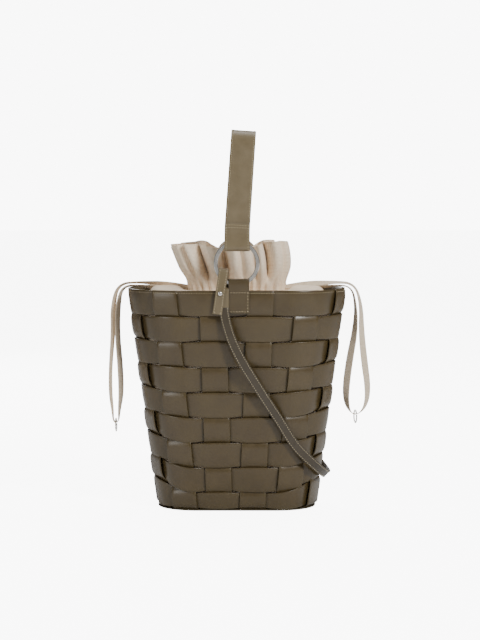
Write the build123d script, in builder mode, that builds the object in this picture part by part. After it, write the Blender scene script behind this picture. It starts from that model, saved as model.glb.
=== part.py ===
"""Woven leather bucket bag with a linen drawstring pouch, ring handle and shoulder strap.

Millimetres. X runs to the right, -Y is the front, Z is up, and the bag stands on z = 0.
The bag is the same in front and behind, so every front piece has a mirrored rear piece.
"""

import os
from math import atan, cos, degrees, pi, radians, sin, sqrt, tan

from build123d import *

# Body: a tapered bucket, oval in plan with two straight sides.
HEIGHT = 306.0
RIM_STRAIGHT = 70.0
RIM_RADIUS = 83.0
BASE_STRAIGHT = 55.0
BASE_RADIUS = 56.0

# Woven leather wall.
LEATHER = 1.6
LAYER_GAP = 0.4
ROW_PITCH = 34.9
ROW_COUNT = 9
ROW_GAP = 2.4
BRIDGE = 1.8
STRIP_WIDTH = 36.0
STRIPS_PER_QUARTER = 3
FLAP_DEPTH = 11.0
FACING_HEIGHT = 24.0
FACING = 1.4
BOARD = 2.0

# Linen pouch.
LINEN = 1.4
POUCH_CLEARANCE = 2.0
POUCH_FLOOR = 8.0
SHOULDER_DROP = 44.0
NECK_WIDTH = 132.0
NECK_DEPTH = 50.0
NECK_DROP = 8.0
CASING_HEIGHT = 8.0
CASING_BULGE = 2.0
RUFFLE_RISE = 64.0
RUFFLE_WIDTH = 160.0
RUFFLE_DEPTH = 78.0
RUFFLE_SHIFT = -8.0

# Big rings and the leather tabs that hold them.
RING_RADIUS = 31.2
RING_BAND = 5.4
RING_THICK = 3.6
RING_BEVEL = 0.8
RING_FOOT = 5.8
TAB_WIDTH = 34.5
TAB_LEATHER = 1.8
TAB_PATCH = 31.0
TAB_INNER = 23.0
POCKET_HALF = 5.0
POCKET_ROOM = 1.1
NOTCH_EDGE = -10.6
FIT = 0.4

# Handle.
HANDLE_LEATHER = 1.8
HANDLE_LINING = 1.6
HANDLE_END_RISE = 22.8
HANDLE_RISE = 150.4
HANDLE_CROWN = 30.0

# Shoulder strap.
STRAP_WIDTH = 13.0
STRAP_LEATHER = 2.0
STRAP_X = -17.3
FOLD_DROP = 6.8
JOIN_DROP = 23.0
TAIL_DROP = 31.0
TAIL_SHIFT = -9.2
LOOP_FRONT = 7.2
LOOP_BACK = 5.0
BEND_X = 79.0
BEND_SHARE = 0.304
BEND_SLOPE = 45.5
STUD_DROP = 3.5
STUD_HEAD = 3.1
STUD_POST = 1.5
STUD_RISE = 2.2

# Drawstring tapes and the small rings that hang on them.
TAPE_WIDTH = 12.0
TAPE = 1.2
SMALL_RING = 8.75
SMALL_WIRE = 2.0
SMALL_DROP = 3.2
SMALL_TURN = 9.0


def straight_half(z):
    """Half the straight part of the bucket's plan at a height."""
    return BASE_STRAIGHT + (RIM_STRAIGHT - BASE_STRAIGHT) * z / HEIGHT


def end_radius(z):
    """Radius of the bucket's round ends, which is also half its depth."""
    return BASE_RADIUS + (RIM_RADIUS - BASE_RADIUS) * z / HEIGHT


def row_top(row):
    """Upper edge of a woven row, counted from 1 at the rim."""
    return HEIGHT - ROW_PITCH * (row - 1)


def row_foot(row):
    """Lower edge of a woven row, where the last one ends at the base."""
    return max(HEIGHT - ROW_PITCH * row, BASE_TOP)


def oval(z, straight, radius, shift=0.0):
    """Level section with two straight sides and two round ends."""
    with BuildSketch(Plane.XY.offset(z)) as section:
        with Locations((shift, 0)):
            SlotCenterToCenter(2 * straight, 2 * radius)
    return section.sketch


def wall(low, high, inset, mode=Mode.ADD):
    """Solid bucket slice inside the wall's outer face by inset, in the part being built."""
    ends = [oval(z, straight_half(z), end_radius(z) - inset) for z in (low, high)]
    loft(ends, mode=mode)


def wall_ring(low, high, inset, thickness):
    """Band that follows the wall, with its outer face inside the wall by inset."""
    wall(low, high, inset)
    wall(low, high, inset + thickness, mode=Mode.SUBTRACT)


def save(part, name):
    """Label a finished sub-part and write it."""
    part.label = name
    export_step(part, f"parts/{name}.step")


def save_pair(part, name):
    """Write a front piece and its mirror image at the rear."""
    save(part, f"front_{name}")
    rear = mirror(part, about=Plane.XZ)
    save(rear, f"rear_{name}")


# Depths of the layers under the wall's outer face.
WEFT_INSET = LEATHER + LAYER_GAP
INNER_INSET = WEFT_INSET + LEATHER + LAYER_GAP
WALL_DEPTH = INNER_INSET + LEATHER
FACING_INSET = WALL_DEPTH + LAYER_GAP
POUCH_INSET = FACING_INSET + FACING + POUCH_CLEARANCE
BASE_TOP = LEATHER + 0.2
FLAP_TOP = BASE_TOP + LEATHER
BOARD_FOOT = FLAP_TOP + 0.2
POUCH_SHOULDER = HEIGHT - SHOULDER_DROP
NECK_HEIGHT = HEIGHT - NECK_DROP
RUFFLE_TOP = NECK_HEIGHT + CASING_HEIGHT + RUFFLE_RISE
RING_HEIGHT = HEIGHT + RING_FOOT + RING_RADIUS
HANDLE_TURN_UP = RING_HEIGHT + RING_RADIUS + HANDLE_END_RISE
HANDLE_TOP = RING_HEIGHT + RING_RADIUS + HANDLE_RISE
STRAP_FOLD = RING_HEIGHT - FOLD_DROP
STRAP_JOIN = HEIGHT - JOIN_DROP
TAIL_END = HEIGHT - TAIL_DROP
STUD_HEIGHT = HEIGHT - STUD_DROP
BEND_START = (BEND_X, BEND_SHARE * HEIGHT)
RING_Y = -(RIM_RADIUS - (FACING_INSET + FACING) / 2)
PIVOT_LOW = RING_HEIGHT - RING_RADIUS + RING_BAND / 2 + 4
PIVOT_HIGH = RING_HEIGHT + RING_RADIUS - RING_BAND / 2 - 4

os.makedirs("parts", exist_ok=True)


def make_base():
    """Leather underside and the stiff board above the turned-in strips."""
    with BuildPart() as base_panel:
        wall(0, LEATHER, LEATHER / 2)
    save(base_panel.part, "base_panel")
    with BuildPart() as base_board:
        wall(BOARD_FOOT, BOARD_FOOT + BOARD, WALL_DEPTH + LAYER_GAP)
    save(base_board.part, "base_board")


def make_wefts():
    """Nine level bands, the middle layer of the weave."""
    for row in range(1, ROW_COUNT + 1):
        top = row_top(row) - (ROW_GAP / 2 if row > 1 else 0)
        foot = row_foot(row) + ROW_GAP / 2
        with BuildPart() as weft_band:
            wall_ring(max(foot, BOARD_FOOT), top, WEFT_INSET, LEATHER)
        save(weft_band.part, f"weft_band_{row}")


def crimped_shell(outside_on_odd):
    """Full ring that runs outside the odd rows and inside the even ones, or the other way."""
    with BuildPart() as shell:
        for row in range(1, ROW_COUNT + 1):
            outside = (row % 2 == 1) == outside_on_odd
            inset = 0 if outside else INNER_INSET
            wall_ring(row_foot(row), row_top(row), inset, LEATHER)
        for row in range(1, ROW_COUNT):
            wall_ring(row_foot(row) - BRIDGE / 2, row_foot(row) + BRIDGE / 2, 0, WALL_DEPTH)
        wall_ring(BASE_TOP, FLAP_TOP, 0, FLAP_DEPTH)
    return shell.part


def quarter_point(share, z):
    """Point and facing angle at a share of the way round a quarter of the bucket."""
    half, radius = straight_half(z), end_radius(z)
    way = share * (half + pi * radius / 2)
    if way <= half:
        return way, radius, 0.0
    angle = (way - half) / radius
    return half + radius * sin(angle), radius * cos(angle), angle


def strip_plane(share, side, face):
    """Plane on the wall, with its Y axis up along one upright strip."""
    low_x, low_y, low_angle = quarter_point(share, 0)
    high_x, high_y, high_angle = quarter_point(share, HEIGHT)
    low = Vector(side * low_x, face * low_y, 0)
    high = Vector(side * high_x, face * high_y, HEIGHT)
    angle = (low_angle + high_angle) / 2
    facing = Vector(side * sin(angle), face * cos(angle), 0)
    line = (high - low).normalized()
    across = line.cross(facing).normalized()
    return Plane(origin=(low + high) / 2, x_dir=across, z_dir=across.cross(line))


def make_warps():
    """Twelve upright strips, which pass over and under the level bands in turn."""
    shells = {True: crimped_shell(True), False: crimped_shell(False)}
    count = 0
    for face in (-1, 1):
        for side in (-1, 1):
            for place in range(STRIPS_PER_QUARTER):
                count += 1
                share = (place + 0.5) / STRIPS_PER_QUARTER
                odd = (place % 2 == 0) == (side * face < 0)
                with BuildPart() as warp_strip:
                    add(shells[odd])
                    with BuildSketch(strip_plane(share, side, face)):
                        Rectangle(STRIP_WIDTH, 2 * HEIGHT)
                    extrude(amount=FLAP_DEPTH + 8, both=True, mode=Mode.INTERSECT)
                save(warp_strip.part, f"warp_strip_{count:02d}")


def make_rim_facing():
    """Leather band inside the rim that covers the ends of the strips."""
    with BuildPart() as rim_facing:
        wall_ring(HEIGHT - 1 - FACING_HEIGHT, HEIGHT - 1, FACING_INSET, FACING)
    save(rim_facing.part, "rim_facing")


def neck_slice(z, inset, width=NECK_WIDTH, depth=NECK_DEPTH, shift=0.0):
    """Oval section of the pouch's neck or ruffle, moved inwards by inset."""
    return oval(z, (width - depth) / 2, depth / 2 - inset, shift)


def make_pouch():
    """Linen pouch: body, sloping shoulder, drawstring casing and open ruffle."""
    with BuildPart() as pouch_body:
        wall(POUCH_FLOOR, POUCH_SHOULDER, POUCH_INSET)
        wall(POUCH_FLOOR + LINEN, POUCH_SHOULDER, POUCH_INSET + LINEN, mode=Mode.SUBTRACT)
    save(pouch_body.part, "pouch_body")

    straight, radius = straight_half(POUCH_SHOULDER), end_radius(POUCH_SHOULDER) - POUCH_INSET
    with BuildPart() as pouch_shoulder:
        loft([oval(POUCH_SHOULDER, straight, radius), neck_slice(NECK_HEIGHT, 0)])
        inner = [oval(POUCH_SHOULDER, straight, radius - LINEN), neck_slice(NECK_HEIGHT, LINEN)]
        loft(inner, mode=Mode.SUBTRACT)
    save(pouch_shoulder.part, "pouch_shoulder")

    with BuildPart() as pouch_casing:
        extrude(neck_slice(NECK_HEIGHT, -CASING_BULGE), amount=CASING_HEIGHT)
        extrude(neck_slice(NECK_HEIGHT, LINEN), amount=CASING_HEIGHT, mode=Mode.SUBTRACT)
    save(pouch_casing.part, "pouch_casing")

    foot = NECK_HEIGHT + CASING_HEIGHT
    mouth = (RUFFLE_WIDTH, RUFFLE_DEPTH, RUFFLE_SHIFT)
    with BuildPart() as pouch_ruffle:
        loft([neck_slice(foot, 0), neck_slice(RUFFLE_TOP, 0, *mouth)])
        inner = [neck_slice(foot, LINEN), neck_slice(RUFFLE_TOP, LINEN, *mouth)]
        loft(inner, mode=Mode.SUBTRACT)
    save(pouch_ruffle.part, "pouch_ruffle")


def ribbon(plane, points, radii, thickness, width):
    """Flat strip whose edge-on path is drawn on a plane and which is as wide as given."""
    with BuildSketch(plane) as edge_on:
        with BuildLine():
            FilletPolyline(*points, radius=radii)
        trace(line_width=thickness)
    extrude(edge_on.sketch, amount=width / 2, both=True)


def chord_height():
    """How far from a ring's centre a strap as wide as the tab lies across its eye."""
    return sqrt((RING_RADIUS - RING_BAND) ** 2 - (TAB_WIDTH / 2) ** 2)


def make_tabs():
    """Folded leather tabs, sewn to both sides of the wall, with a pocket for the ring."""
    outer_gap = LAYER_GAP + TAB_LEATHER / 2
    inner_gap = FACING_INSET + FACING + outer_gap
    swing = POCKET_HALF + TAB_LEATHER / 2
    top = RING_HEIGHT - chord_height() + POCKET_ROOM + TAB_LEATHER / 2
    patch_foot = HEIGHT - TAB_PATCH
    inner_foot = HEIGHT - TAB_INNER
    points = [
        (-(end_radius(patch_foot) + outer_gap), patch_foot),
        (-(end_radius(HEIGHT) + outer_gap), HEIGHT + 0.5),
        (RING_Y - swing, HEIGHT + 7),
        (RING_Y - swing, top),
        (RING_Y + swing, top),
        (RING_Y + swing, HEIGHT + 7),
        (-(end_radius(HEIGHT) - inner_gap), HEIGHT - 2),
        (-(end_radius(inner_foot) - inner_gap), inner_foot),
    ]
    with BuildPart() as ring_tab:
        ribbon(Plane.YZ, points, [3, 3, 2.9, 2.9, 3, 3], TAB_LEATHER, TAB_WIDTH)
        notch_width = NOTCH_EDGE + TAB_WIDTH / 2
        with BuildSketch(Plane.XZ.offset(-RING_Y)):
            with Locations((NOTCH_EDGE - notch_width, HEIGHT + 0.3)):
                Rectangle(notch_width, 3 * TAB_WIDTH, align=(Align.MIN, Align.MIN))
        extrude(amount=4 * swing, both=True, mode=Mode.SUBTRACT)
    save_pair(ring_tab.part, "ring_tab")


def make_rings():
    """Flat steel rings with bevelled edges."""
    plane = Plane(origin=(0, RING_Y, RING_HEIGHT), x_dir=(1, 0, 0), z_dir=(0, -1, 0))
    with BuildPart() as ring:
        with BuildSketch(plane):
            Circle(RING_RADIUS)
            Circle(RING_RADIUS - RING_BAND, mode=Mode.SUBTRACT)
        extrude(amount=RING_THICK / 2, both=True)
        chamfer(ring.edges().filter_by(GeomType.CIRCLE), RING_BEVEL)
    save_pair(ring.part, "ring")


def handle_profile(inset, foot):
    """Foot, apex and crown radius of the handle's arch, moved inwards by inset."""
    foot_y = -RING_Y - (HANDLE_LEATHER + FIT) / 2
    crown = HANDLE_CROWN
    apex = HANDLE_TOP - HANDLE_LEATHER / 2
    for _ in range(40):
        lean = atan(foot_y / (apex - HANDLE_TURN_UP))
        apex = HANDLE_TOP - HANDLE_LEATHER / 2 + crown * (1 / sin(lean) - 1)
    foot_y = (apex - foot) * tan(lean) - inset / cos(lean)
    return foot_y, apex - inset / sin(lean), crown - inset


def make_handle():
    """Wide leather handle, folded through both rings, and the lining under its arch."""
    foot_y, apex, crown = handle_profile(0, HANDLE_TURN_UP)
    swing = POCKET_HALF + HANDLE_LEATHER / 2
    bottom = RING_HEIGHT + chord_height() - POCKET_ROOM - HANDLE_LEATHER / 2
    shoulder = HANDLE_TURN_UP - 12
    half = [
        (RING_Y - (HANDLE_LEATHER + FIT) / 2, HANDLE_TURN_UP),
        (RING_Y - swing, shoulder),
        (RING_Y - swing, bottom),
        (RING_Y + swing, bottom),
        (RING_Y + swing, shoulder),
        (-foot_y, HANDLE_TURN_UP),
    ]
    points = half + [(0, apex)] + [(-y, z) for y, z in reversed(half)]
    folds = [6, 2.9, 2.9, 6, 6]
    radii = folds + [crown] + folds[::-1]
    with BuildPart() as handle_strap:
        ribbon(Plane.YZ, points, radii, HANDLE_LEATHER, TAB_WIDTH)
    save(handle_strap.part, "handle_strap")

    inset = (HANDLE_LEATHER + HANDLE_LINING) / 2 + 0.1
    foot = HANDLE_TURN_UP + 4
    foot_y, apex, crown = handle_profile(inset, foot)
    points = [(-foot_y, foot), (0, apex), (foot_y, foot)]
    with BuildPart() as handle_lining:
        ribbon(Plane.YZ, points, [crown], HANDLE_LINING, TAB_WIDTH - 1)
    save(handle_lining.part, "handle_lining")


def strap_gap(layer):
    """Distance of a strap layer's middle from the wall's outer face."""
    under = LAYER_GAP + TAB_LEATHER
    return under + (layer + 1) * LAYER_GAP + (layer + 0.5) * STRAP_LEATHER


def strap_end_path():
    """Edge-on path of the strap's fold: up the front, over the ring's band and back down."""
    turn = HEIGHT + 4
    front, back = RING_Y - LOOP_FRONT, RING_Y + LOOP_BACK
    return [
        (front, STRAP_FOLD - 10),
        (front, STRAP_FOLD - STRAP_LEATHER / 2),
        (back, STRAP_FOLD - STRAP_LEATHER / 2),
        (back, turn),
        (-(end_radius(HEIGHT) + strap_gap(0)), turn),
        (-(end_radius(STRAP_JOIN) + strap_gap(0)), STRAP_JOIN),
    ]


def tail_plane():
    """Plane of the tail, which hangs a little aslant from the fold."""
    drop = STRAP_FOLD - TAIL_END
    lean = atan(-TAIL_SHIFT / drop)
    return Plane(
        origin=(STRAP_X, 0, STRAP_FOLD),
        x_dir=(0, 1, 0),
        z_dir=(cos(lean), 0, -sin(lean)),
    )


def tail_path():
    """Edge-on path of the tail, measured down from the fold."""
    points = [
        (RING_Y - LOOP_FRONT, -6),
        (RING_Y - LOOP_FRONT, HEIGHT + 14 - STRAP_FOLD),
        (-(end_radius(HEIGHT) + strap_gap(1)), HEIGHT - STRAP_FOLD),
        (-(end_radius(TAIL_END) + strap_gap(1)), (TAIL_END - STRAP_FOLD) * 1.01),
    ]
    return points


def stud_place():
    """Middle of the stud on the tail's outer face."""
    lean = (STRAP_FOLD - STUD_HEIGHT) / (STRAP_FOLD - TAIL_END)
    face = end_radius(STUD_HEIGHT) + strap_gap(1) + STRAP_LEATHER / 2 + LAYER_GAP
    return STRAP_X + TAIL_SHIFT * lean, -face, STUD_HEIGHT


def make_strap_ends():
    """Strap ends, folded over the rings and held by a stud through both layers."""
    stud_x, stud_y, stud_z = stud_place()
    stud_plane = Plane(origin=(stud_x, stud_y, stud_z), x_dir=(1, 0, 0), z_dir=(0, -1, 0))
    layers = 2 * STRAP_LEATHER + LAYER_GAP
    with BuildPart() as strap_end:
        ribbon(Plane.YZ.offset(STRAP_X), strap_end_path(), [5, 5, 4, 3], STRAP_LEATHER,
               STRAP_WIDTH)
        ribbon(tail_plane(), tail_path(), [8, 8], STRAP_LEATHER, STRAP_WIDTH)
        with BuildSketch(stud_plane):
            Circle(STUD_POST + 0.1)
        extrude(amount=2 * layers, both=True, mode=Mode.SUBTRACT)
    save_pair(strap_end.part, "strap_end")

    with BuildPart() as strap_stud:
        with BuildSketch(stud_plane):
            Circle(STUD_HEAD)
        extrude(amount=STUD_RISE)
        fillet(strap_stud.faces().sort_by(Axis.Y)[0].edges(), STUD_RISE * 0.7)
        with BuildSketch(stud_plane):
            Circle(STUD_POST)
        extrude(amount=-layers)
    save_pair(strap_stud.part, "strap_stud")


def wall_front_plane():
    """Plane of the strap's middle where it lies on the front of the bag."""
    slope = (RIM_RADIUS - BASE_RADIUS) / HEIGHT
    return Plane(origin=(0, -(BASE_RADIUS + strap_gap(0)), 0), x_dir=(1, 0, 0),
                 z_dir=(0, -1, -slope))


def strap_bend(start_y):
    """Half-round bend of the strap around the bag's side, seen along the strap's width."""
    down = radians(BEND_SLOPE)
    start_x, start_z = BEND_START
    plane = Plane(
        origin=(start_x, 0, start_z),
        x_dir=(cos(down), 0, -sin(down)),
        z_dir=(sin(down), 0, cos(down)),
    )
    with BuildSketch(plane) as bend:
        with BuildLine():
            CenterArc((0, 0), start_y, -90, 180)
        trace(line_width=STRAP_LEATHER)
    extrude(bend.sketch, amount=STRAP_WIDTH / 2, both=True)


def make_shoulder_strap():
    """Long strap: down across the front, round the right side and up across the back."""
    course = [(-14.5, 0.856), (-0.8, 0.736), (18.2, 0.625), (38.6, 0.516), (57.1, 0.425)]
    middle = [(STRAP_X, STRAP_JOIN - 0.2)] + [(x, share * HEIGHT) for x, share in course]
    middle.append(BEND_START)
    foot_y = end_radius(BEND_START[1]) + strap_gap(0)
    slope = sqrt(1 + ((RIM_RADIUS - BASE_RADIUS) / HEIGHT) ** 2)
    with BuildPart() as shoulder_strap:
        with BuildSketch(wall_front_plane()):
            with BuildLine():
                Spline([(x, z * slope) for x, z in middle], tangents=[(0, -1), (1, -1.02)])
            trace(line_width=STRAP_WIDTH)
        extrude(amount=STRAP_LEATHER / 2, both=True)
        mirror(about=Plane.XZ)
        strap_bend(foot_y)
    save(shoulder_strap.part, "shoulder_strap")


# Each tape's route: out of the casing, over the rim, down through its small ring and back.
LEFT_TAPE = [
    (-68.6, 304.4), (-96.0, 310.5), (-134.0, 313.6), (-165.5, 311.5), (-173.5, 281.0),
    (-173.2, 240.0), (-177.0, 196.0), (-177.3, 158.0), (-174.3, 133.0), (-173.2, 116.2),
    (-165.8, 116.2), (-165.0, 133.0), (-162.0, 158.0), (-163.3, 196.0), (-167.0, 238.0),
    (-166.6, 277.0), (-160.6, 308.8), (-131.0, 308.6), (-98.0, 304.4), (-68.6, 300.0),
]
RIGHT_TAPE = [
    (68.6, 304.4), (96.0, 310.5), (134.0, 313.6), (164.5, 312.0), (174.0, 283.0),
    (174.6, 243.0), (178.5, 204.0), (184.0, 166.0), (182.0, 142.0), (172.2, 128.0),
    (160.6, 128.0), (153.5, 144.0), (153.2, 168.0), (158.2, 206.0), (165.5, 244.0),
    (167.0, 279.0), (160.4, 308.9), (131.0, 308.6), (98.0, 304.4), (68.6, 300.0),
]


def arc_radii(route):
    """Largest arc that each corner's two runs allow."""
    points = [Vector(*point) for point in route]
    radii = []
    for before, corner, after in zip(points, points[1:], points[2:]):
        turn = (corner - before).get_angle(after - corner)
        shorter = min((corner - before).length, (after - corner).length)
        radii.append(0.45 * shorter / tan(radians(turn) / 2))
    return radii


def make_tape(name, route):
    """One flat drawstring tape, upright where it crosses the rim."""
    radii = arc_radii(route)
    plane = Plane(origin=(0, 0, 0), x_dir=(1, 0, 0), z_dir=(0, -1, 0))
    with BuildLine(plane) as middle:
        FilletPolyline(*route, radius=radii)
    length = sum(edge.length for edge in middle.edges())
    with BuildPart() as tape:
        ribbon(plane, route, radii, TAPE, TAPE_WIDTH)
    share = tape.part.volume / (length * TAPE * TAPE_WIDTH)
    print(name, "length", round(length, 1), "volume share", round(share, 3))
    print(name, "radii", [round(radius, 1) for radius in radii])
    save(tape.part, name)


def lowest_run(route):
    """Middle of a tape's lowest run, where its ring hangs."""
    lowest = min(z for _, z in route)
    ends = [x for x, z in route if z == lowest]
    return sum(ends) / len(ends), lowest


def make_small_ring(name, route):
    """Round wire ring hanging on the lowest run of a tape, turned a little about the upright."""
    x, z = lowest_run(route)
    centre = z - SMALL_DROP
    turn = radians(SMALL_TURN)
    across, along = (-sin(turn), cos(turn), 0), (cos(turn), sin(turn), 0)
    plane = Plane(origin=(x, 0, centre), x_dir=across, z_dir=along)
    with BuildPart() as small_ring:
        with BuildSketch(Plane.XZ):
            with Locations((SMALL_RING, 0)):
                Circle(SMALL_WIRE / 2)
        revolve(axis=Axis.Z)
    save(plane.location * small_ring.part, name)


make_base()
make_wefts()
make_warps()
make_rim_facing()
make_pouch()
make_tabs()
make_rings()
make_handle()
make_strap_ends()
make_shoulder_strap()
make_tape("left_drawstring", LEFT_TAPE)
make_tape("right_drawstring", RIGHT_TAPE)
make_small_ring("left_tape_ring", LEFT_TAPE)
make_small_ring("right_tape_ring", RIGHT_TAPE)
print("pivots", round(RING_Y, 2), round(PIVOT_LOW, 2), round(PIVOT_HIGH, 2))
print("small rings", lowest_run(LEFT_TAPE), lowest_run(RIGHT_TAPE))
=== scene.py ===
# %% [markdown]
# # Woven leather bucket bag
# This script dresses the measured model of a woven bucket bag. The model gives the size and the place
# of every part, and Blender adds what those plain solids lack: leather that bends over and under,
# gathered linen, stitches and polished steel. All lengths are in metres, X is to the right, -Y is the
# front and Z is up.

import bpy
import numpy as np
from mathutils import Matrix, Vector


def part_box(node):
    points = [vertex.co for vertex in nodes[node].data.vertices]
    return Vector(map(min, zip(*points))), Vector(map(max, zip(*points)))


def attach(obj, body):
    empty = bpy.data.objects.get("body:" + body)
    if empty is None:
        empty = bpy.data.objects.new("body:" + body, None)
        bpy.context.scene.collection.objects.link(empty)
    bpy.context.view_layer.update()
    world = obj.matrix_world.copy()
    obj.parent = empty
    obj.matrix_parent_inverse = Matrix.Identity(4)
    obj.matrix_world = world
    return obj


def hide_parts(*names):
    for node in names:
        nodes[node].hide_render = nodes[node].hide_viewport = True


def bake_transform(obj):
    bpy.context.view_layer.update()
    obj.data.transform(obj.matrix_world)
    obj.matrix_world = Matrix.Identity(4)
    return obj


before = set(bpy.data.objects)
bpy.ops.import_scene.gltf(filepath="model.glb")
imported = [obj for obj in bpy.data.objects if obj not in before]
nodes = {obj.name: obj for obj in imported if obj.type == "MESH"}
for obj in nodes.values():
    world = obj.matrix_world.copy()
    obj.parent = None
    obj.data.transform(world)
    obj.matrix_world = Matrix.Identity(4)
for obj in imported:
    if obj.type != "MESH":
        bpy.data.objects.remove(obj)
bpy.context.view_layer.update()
MM = 0.001

# %% [markdown]
# The camera stands level with the top of the bag and looks slightly down at it, far enough away
# that the upright strips stay almost parallel. A long lens then fills the frame. The camera is set
# first, because everything after it is judged through it.

# %% Camera
CAMERA_DISTANCE = 2.73
CAMERA_HEIGHT = 0.456
CAMERA_PITCH = 4.1
LENS = 110.0

bpy.ops.object.camera_add(
    location=(0.0045, -CAMERA_DISTANCE, CAMERA_HEIGHT),
    rotation=(np.radians(90 - CAMERA_PITCH), 0, 0),
)
camera = bpy.context.object
camera.name = "product_camera"
camera.data.lens = LENS
camera.data.sensor_fit = "VERTICAL"
camera.data.sensor_height = 36
bpy.context.scene.camera = camera
print("camera", tuple(round(value, 3) for value in camera.location))

# %% [markdown]
# A bag on a white sweep is lit by soft area lights. The key from the upper right gives the leather
# its highlights, a weaker fill from the left keeps the shadow side open, and two more light the top
# and the back. A white world as bright as it looks would wash out dark leather. So the world is dim
# for the bag and bright for the camera only, through the Light Path node, and so is the floor.

# %% Floor, world and lights
def deselect():
    bpy.ops.object.select_all(action="DESELECT")


def select_only(piece):
    """Select one object and make it the active one, which is what an operator acts on."""
    deselect()
    piece.select_set(True)
    bpy.context.view_layer.objects.active = piece


def soft_light(name, place, size, power):
    """Square area light that looks at the middle of the bag."""
    bpy.ops.object.light_add(type="AREA", location=place)
    light = bpy.context.object
    light.name = name
    light.data.size = size
    light.data.energy = power
    aim = Vector((0, 0, 0.25)) - Vector(place)
    light.rotation_euler = aim.to_track_quat("-Z", "Y").to_euler()
    return light


WORLD_FOR_BAG = 0.16
WORLD_FOR_CAMERA = 9.0
FLOOR_FOR_CAMERA = 8.0

deselect()
soft_light("key_light", (1.3, -1.8, 1.8), 0.4, 64)
soft_light("fill_light", (-1.7, -1.6, 0.7), 0.8, 13)
soft_light("top_light", (0.2, 0.6, 2.2), 1.2, 20)
soft_light("back_light", (-0.9, 2.0, 1.1), 1.0, 26)

world = bpy.data.worlds.new("white_studio")
world.use_nodes = True
background = world.node_tree.nodes["Background"]
background.inputs["Color"].default_value = (1, 1, 1, 1)
seen = world.node_tree.nodes.new("ShaderNodeLightPath")
strength = world.node_tree.nodes.new("ShaderNodeMapRange")
strength.inputs["To Min"].default_value = WORLD_FOR_BAG
strength.inputs["To Max"].default_value = WORLD_FOR_CAMERA
world.node_tree.links.new(seen.outputs["Is Camera Ray"], strength.inputs["Value"])
world.node_tree.links.new(strength.outputs["Result"], background.inputs["Strength"])
bpy.context.scene.world = world

deselect()
bpy.ops.mesh.primitive_plane_add(size=30, location=(0, 0, -0.0005))
floor = bpy.context.object
floor.name = "studio_floor"

# %% [markdown]
# Nearly everything on this bag is cut from flat sheet: leather strips, straps, tapes. So there is one
# way of working for all of them. A flat strip starts as a grid, gets its thickness and rounded edges
# while it is flat, and is then laid along its place. The strip's X is its length, Y its width and Z
# its outer face, and its UV map keeps those flat measures, so that grain and weave follow the leather
# or cloth however it bends.

# %% Flat strips
def apply_modifiers(piece):
    """Apply every modifier on a piece, in order."""
    select_only(piece)
    for modifier in list(piece.modifiers):
        bpy.ops.object.modifier_apply(modifier=modifier.name)


def set_uv(piece, flat):
    """UV map in metres: a function gives the flat place of each point."""
    mesh = piece.data
    layer = mesh.uv_layers[0] if mesh.uv_layers else mesh.uv_layers.new(name="UVMap")
    for loop in mesh.loops:
        layer.data[loop.index].uv = flat(mesh.vertices[loop.vertex_index].co)


def flat_strip(name, length, width, thick, step, edge=0.0, shift=0.0):
    """Flat strip along X from 0 to length, with the cut edges as its second material slot."""
    deselect()
    along = max(2, round(length / step))
    across = max(4, round(width / step))
    bpy.ops.mesh.primitive_grid_add(x_subdivisions=along, y_subdivisions=across, size=1)
    strip = bpy.context.object
    strip.name = name
    strip.data.name = name
    bpy.ops.object.mode_set(mode="EDIT")
    bpy.ops.mesh.select_all(action="SELECT")
    bpy.ops.transform.resize(value=(length, width, 1), center_override=(0, 0, 0))
    bpy.ops.transform.translate(value=(length / 2, 0, 0))
    bpy.ops.object.mode_set(mode="OBJECT")
    set_uv(strip, lambda spot: (spot.x + shift, spot.y))
    if thick:
        solid = strip.modifiers.new("thickness", "SOLIDIFY")
        solid.thickness = thick
        solid.offset = 0
        solid.material_offset_rim = 1
    if edge:
        bevel = strip.modifiers.new("edge", "BEVEL")
        bevel.width = edge
        bevel.segments = 2
        bevel.limit_method = "ANGLE"
        bevel.angle_limit = np.radians(60)
        # the rounded bevels take the pale edge material too, which paints a highlight line along the
        # edges
        bevel.material = 1 if thick else -1
    apply_modifiers(strip)
    return strip


print("a strip is a grid with steps of about 2 to 5 mm")

# %% [markdown]
# A flat piece is bent by one function that says where each of its points goes. Numpy moves them all
# at once, which is quick and leaves the mesh's faces and UV map as they were. A finished piece then
# gets smooth shading with sharp edges kept, its materials and the body that it moves with, and the
# measured parts that it stands for are hidden.

# %% Bending and finishing
SHARP_ANGLE = 50


def move_points(piece, place):
    """Move every point of a mesh by a function of its flat x, y and z."""
    mesh = piece.data
    flat = np.empty(len(mesh.vertices) * 3)
    mesh.vertices.foreach_get("co", flat)
    flat = flat.reshape(-1, 3)
    mesh.vertices.foreach_set("co", place(flat[:, 0], flat[:, 1], flat[:, 2]).ravel())
    mesh.update()


def finish_piece(piece, body, materials, replaced=()):
    """Give a finished piece its shading, materials, body and the nodes that it stands for."""
    piece.data.materials.clear()
    for material in materials:
        piece.data.materials.append(material)
    select_only(piece)
    bpy.ops.object.shade_smooth_by_angle(angle=np.radians(SHARP_ANGLE))
    if body:
        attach(piece, body)
    if replaced:
        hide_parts(*replaced)
    print(piece.name, "faces", len(piece.data.polygons))


def dress_nodes(material, *names):
    """Give measured parts that stay as they are their material."""
    for name in names:
        nodes[name].data.materials.clear()
        nodes[name].data.materials.append(material)


print("sharp edges from", SHARP_ANGLE, "degrees")

# %% [markdown]
# A strap follows a line in space, and it also has to know which way its flat side faces. So a rail
# holds two smooth curves with the same number of control points: one for the middle of the strap,
# and one for the direction of its width. Both are NURBS splines, which Blender works out itself.

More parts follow.
